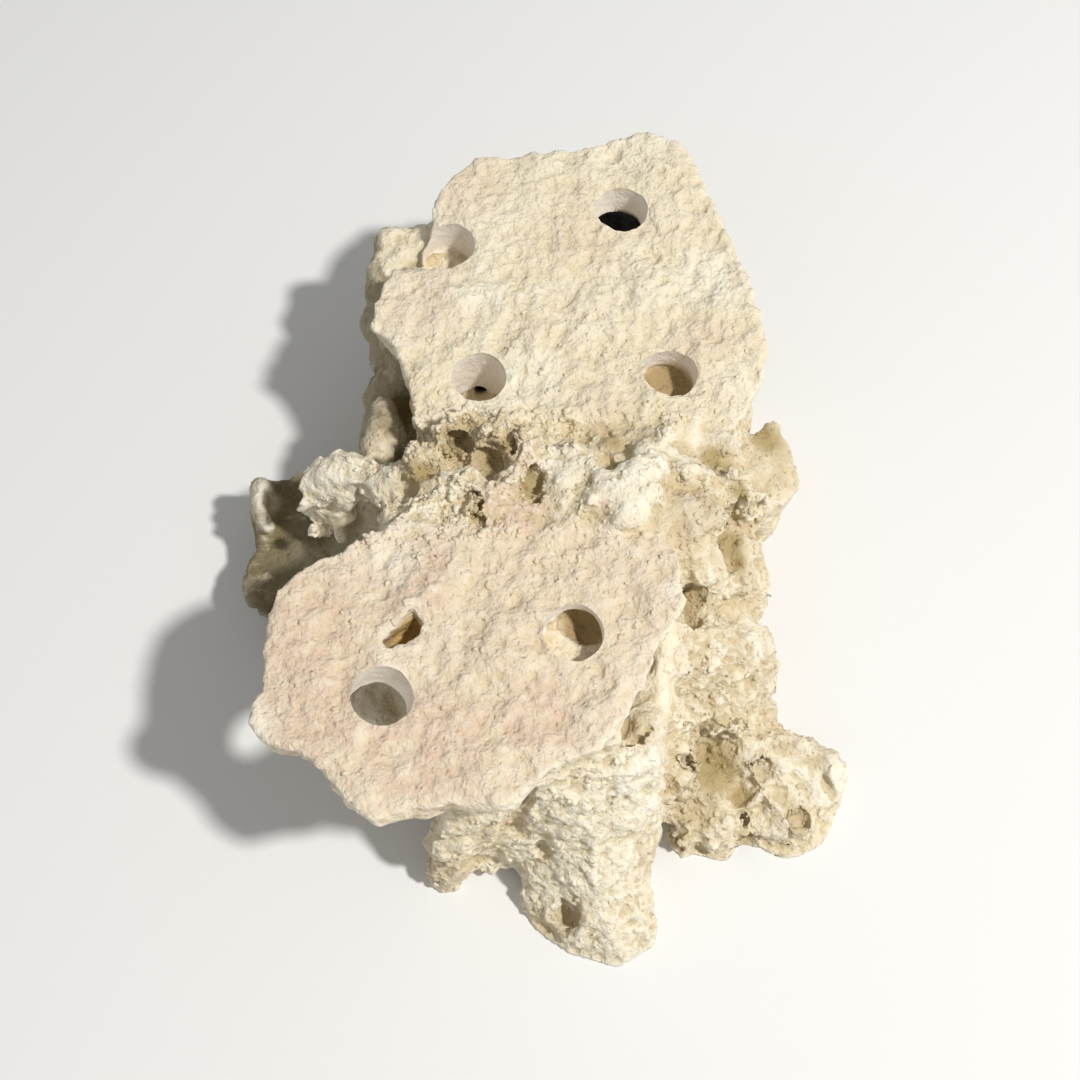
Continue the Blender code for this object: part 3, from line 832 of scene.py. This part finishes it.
# marks that the stone's colours read: x, y, z and reach
marks = {
    "pink": ((-52, -40, 60, 22), (-48, -60, 60, 20), (-30, -30, 60, 16), (-25, -66, 60, 22),
             (-2, -60, 60, 14), (-8, -14, 60, 11), (-6, 0, 60, 7), (-40, 25, 40, 8), (12, -14, 60, 4)),
    "softPink": ((31, -13, 57, 10), (20, -30, 60, 12), (30, -22, 60, 8), (-30, 45, 54, 16),
                 (-20, 78, 54, 14), (8, 62, 54, 10), (14, 14, 54, 8), (36, 34, 54, 10)),
    # pale: paler stone, and painted light on the tier's finger, the arm and the white front face, which the
    # key lamp leaves dimmer
    "pale": ((20, -68, 42, 10), (20, -73, 31, 9), (-70.4, 9, 20, 7), (-52, 2, 40, 13), (-44, 2, 47, 8),
             (2, -1, 60, 7), (18, -10, 64, 10), (23, -4, 63, 6), (-16, 47, 54, 8), (62, -57, 9, 9),
             (38, 52, 54, 12), (-4, 24, 54, 10), (46, -32, 34, 11), (68, -54, 10, 7), (26, -33, 58, 5),
             (-33, -26, 60, 8), (-60, -62, 57, 8), (14, -19, 61, 3)),
    # painted shade in an olive tone: on the tier, under the upper shelf's left edge and in the cave under the
    # arm
    "oliveShade": ((-72, 0, 16, 22), (-62, 8, 14, 20), (-64, -14, 14, 16), (-42, 36, 30, 8), (-36, 10, 36, 7),
              (-40, -9, 34, 9)),
    # tan patches of the stone; on the tooth and the fluted slope also painted shade
    "tan": ((-28, -2, 56, 8), (-16, 5, 56, 9), (-10, 2, 58, 6), (-4, -8, 58, 6), (31, -13, 57, 12),
            (52, 8, 43, 13), (50, 16, 42, 8), (40, 2, 53, 8), (40, -12, 44, 8), (30, -27, 42, 9),
            (16, 7, 55, 10), (38, -57, 14, 10), (34, -64, 8, 9), (26, -62, 18, 6), (16, -60, 50, 6),
            (57, -67, 8, 5), (-36, 16, 42, 9), (56, 10, 42, 6), (18, -58, 50, 7), (-24, -80, 12, 12),
            (-10, -72, 30, 9), (-2, -92, 4, 8), (5, -90, 12, 6), (24, -78, 14, 6)),
    # brown stains, as in the valley and the slits, and painted shade in crevices of the ridge, in the tooth's
    # hollow and on the wall under the upper shelf's left edge
    "stainAndShade": ((-28.5, -3, 55, 5), (-21, 7, 54, 5), (-13, 1, 55, 5), (-9, 2.6, 59, 3), (-15.4, -13.5, 58, 3),
              (-3.8, -5.6, 55, 5), (14, 6, 55, 3.5), (36.6, 3, 52.6, 4), (41, 1, 52, 4),
              (42.5, -4, 50.5, 3.5), (41, -13, 41.5, 5), (42.7, -16.5, 40.5, 4), (30, -27, 40, 6),
              (39, -56.5, 11, 8), (37, -54, 15, 6), (45, -62, 7, 4), (46, -71, 3, 4), (50.6, 12.5, 43.5, 5.5),
              (-32, 8, 46, 6), (-32.5, 15, 46, 5), (-33, 21, 46, 5), (-35, 26, 30, 9), (-12, 84, 40, 8),
              (4, -91, 8, 4)),
    "umber": ((-34, -44.4, 53.5, 4.0), (28, 25, 43.6, 8.8), (9, -36, 51, 7.5)),
    "amber": ((-28.8, -40.4, 53.5, 6),),
    # painted shadow: black where the back hole and the left hole look into deep caves, and in the gap at the
    # right foot
    "blackShade": ((19, 80.5, 39.5, 9.5), (45, -76, 1, 3), (-16, 32, 37, 2.6)),
    "finger": ((-70.4, 9, 20.5, 6.5), (-69, 3, 19.5, 4), (-51, 2, 38, 11)),  # where no painted shade goes: the lit finger of the tier and the arm
    "bareFloor": ((3, -43, 52.6, 8),),
}


def markFloats(obj, name, values):
    mark = obj.data.attributes.new(name, "FLOAT", "POINT")
    mark.data.foreach_set("value", values.astype(np.float32))


def howHollow(obj, repeats):
    # how far each point lies below a smoothed copy, in millimetres
    calm = obj.copy()
    calm.data = obj.data.copy()
    bpy.context.scene.collection.objects.link(calm)
    applyModifier(calm, "SMOOTH", "Calm", factor=0.6, iterations=repeats)
    rough, normals = readPoints(obj)
    soft = readPoints(calm)[0]
    bpy.data.objects.remove(calm)
    return np.sum((soft - rough) * normals, axis=1)


def paintMarks(rock, points, normals, zones):
    # how far each point lies in a recess, for darkening it in colour: dust and painted shade
    hollow = howHollow(rock, 12)
    markFloats(rock, "hollow", smoothStep(0.02, 0.32, hollow) * (1 - 0.6 * zones["top"]))
    tan = softSpots(points, marks["tan"]) * 0.85
    # painted shade: the flank, which faces the key lamp, darkened in mottled patches
    tan = np.maximum(tan, 0.6 * np.clip(zones["flank"] - zones["top"], 0, 1) * patches(points, 7, 13))
    markFloats(rock, "tan", tan)
    # painted highlight: convex crests made paler
    crest = smoothStep(0.05, 0.34, -hollow) * (1 - 0.5 * zones["top"]) * (1 - 0.6 * tan)
    markFloats(rock, "crest", crest)
    pink = np.maximum(softSpots(points, marks["pink"]), softSpots(points, marks["softPink"]) * 0.4)
    markFloats(rock, "pink", np.maximum(pink, 0.5 * zones["lowerTop"]))
    # paler stone, and painted light on the finger, the arm and the front face
    pale = np.clip(softSpots(points, marks["pale"]) * 0.65 + 0.3 * zones["face"], 0, 1)
    markFloats(rock, "pale", pale)
    # painted shade: the tier and the left wall darkened as if in shadow, but not on the lit finger and
    # nothing above 46 mm
    oliveShade = np.maximum(0.9 * softSpots(points, marks["oliveShade"]), 0.55 * zones["tier"])
    oliveShade = np.maximum(oliveShade, 0.6 * zones["leftWall"])
    oliveShade = oliveShade * (points[:, 2] < 46) * (1 - softSpots(points, marks["finger"]))
    markFloats(rock, "oliveShade", oliveShade)
    # brown stains and painted shade in crevices
    markFloats(rock, "stainAndShade", softSpots(points, marks["stainAndShade"]) * 0.85)
    for name in ("umber", "amber"):
        markFloats(rock, name, smoothStep(0.0, 0.4, softSpots(points, marks[name])))
    # painted shadow, only low down and on faces that do not look back
    blackShade = smoothStep(0.0, 0.3, softSpots(points, marks["blackShade"])) * (points[:, 2] < 44.5)
    markFloats(rock, "blackShade", blackShade * smoothStep(0.5, 0.1, normals[:, 1]))


def nearHoles(points):
    # 1 on the drilled holes' walls and just round their rims, 0 elsewhere
    walls = np.zeros(len(points))
    for x, y, rim, _, _, _ in drillHoles["holes"].values():
        reach = 7.6 + 0.1 * (rim - points[:, 2])
        walls = np.maximum(walls, np.hypot(points[:, 0] - x, points[:, 1] - y) < reach)
    return walls


def paintFloors(rock, points, normals, walls):
    floors = walls * smoothStep(0.5, 0.9, normals[:, 2]) * (points[:, 2] < 56)
    markFloats(rock, "drillFloor", floors * (1 - softSpots(points, marks["bareFloor"])))


def paintCrumby(rock, points, normals, zones, walls):
    low, high = (np.array(corner) / mm - np.array(rockShift) for corner in cadBox)
    inside = np.min(np.minimum(points - low, high - points), axis=1)
    crumby = np.zeros(len(points))
    for zone, share in crumbs["zones"].items():
        crumby = crumby + share * zones[zone]
    crumby = crumby + 0.16 * zones["lowerTop"] * smoothStep(-50, -16, points[:, 1]) + 0.03 * zones["lowerTop"]
    crumby = crumby + 0.12 * zones["upperTop"] * (1 - smoothStep(14, 50, points[:, 1]))
    crumby = np.clip(crumby, 0, 1) * (0.15 + 0.85 * patches(points, 9, 11)) * (1 - 0.75 * zones["calm"])
    crumby = crumby * (1 - walls) * (inside > 1.3) * smoothStep(-0.3, 0.1, normals[:, 2])
    markFloats(rock, "crumby", crumby * (points[:, 2] > 1.5))


points, normals = readPoints(rock)
zones = findZones(points, normals)
walls = nearHoles(points)
paintMarks(rock, points, normals, zones)
paintFloors(rock, points, normals, walls)
paintCrumby(rock, points, normals, zones, walls)
rock.vertex_groups.clear()
print("marks painted")

beads = scatterCrumbs(rock)
trimToBox(beads)
print("crumbs scattered:", len(beads.data.polygons), "faces")
for piece in (rock, beads):
    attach(piece, "root")
    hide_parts("reef_rock")
print("rock finished")


# floor, lights and camera
stage = {
    "floor": {"size": 4.0, "colour": (0.80, 0.80, 0.79, 1), "roughness": 0.9},
    "lamps": {  # direction, distance, size, power and colour
        "keyLamp": ((0.50, -0.22, 0.84), 1.3, 0.10, 14.8, (1.0, 0.985, 0.955)),
        "fillLamp": ((-0.7, -0.8, 0.9), 1.3, 1.0, 0.8, (0.96, 0.98, 1.0)),
    },
    "air": {"colour": (1, 1, 1, 1), "strength": 0.33},
    "camera": {"at": (-2, -161, 347), "tilt": 26, "lens": 50, "sensor": 36, "near": 0.01},
}


def addFloor():
    deselectAll()
    bpy.ops.mesh.primitive_plane_add(size=stage["floor"]["size"], location=(0, 0, 0))
    floor = bpy.context.object
    floor.name = "floor"
    material, _, shader = newMaterial("floorPaper")
    shader.inputs["Base Color"].default_value = stage["floor"]["colour"]
    shader.inputs["Roughness"].default_value = stage["floor"]["roughness"]
    floor.data.materials.append(material)


def addLamp(name, direction, distance, size, power, colour):
    data = bpy.data.lights.new(name, "AREA")
    data.shape = "DISK"
    data.size = size
    data.energy = power
    data.color = colour
    lamp = bpy.data.objects.new(name, data)
    bpy.context.scene.collection.objects.link(lamp)
    aim = Vector(direction).normalized()
    lamp.location = aim * distance
    lamp.rotation_euler = aim.to_track_quat("Z", "Y").to_euler()


def addAir():
    world = bpy.data.worlds.new("studio")
    bpy.context.scene.world = world
    world.use_nodes = True
    background = world.node_tree.nodes["Background"]
    background.inputs["Color"].default_value = stage["air"]["colour"]
    background.inputs["Strength"].default_value = stage["air"]["strength"]


def addCamera():
    view = stage["camera"]
    eye = bpy.data.objects.new("camera", bpy.data.cameras.new("camera"))
    bpy.context.scene.collection.objects.link(eye)
    eye.data.lens = view["lens"]
    eye.data.sensor_width = view["sensor"]
    eye.data.clip_start = view["near"]
    eye.location = place(*view["at"])
    eye.rotation_euler = (math.radians(view["tilt"]), 0, 0)
    bpy.context.scene.camera = eye


addFloor()
for name, lamp in stage["lamps"].items():
    addLamp(name, *lamp)
addAir()
addCamera()
bpy.context.scene.view_settings.view_transform = "Standard"
print("stage set")
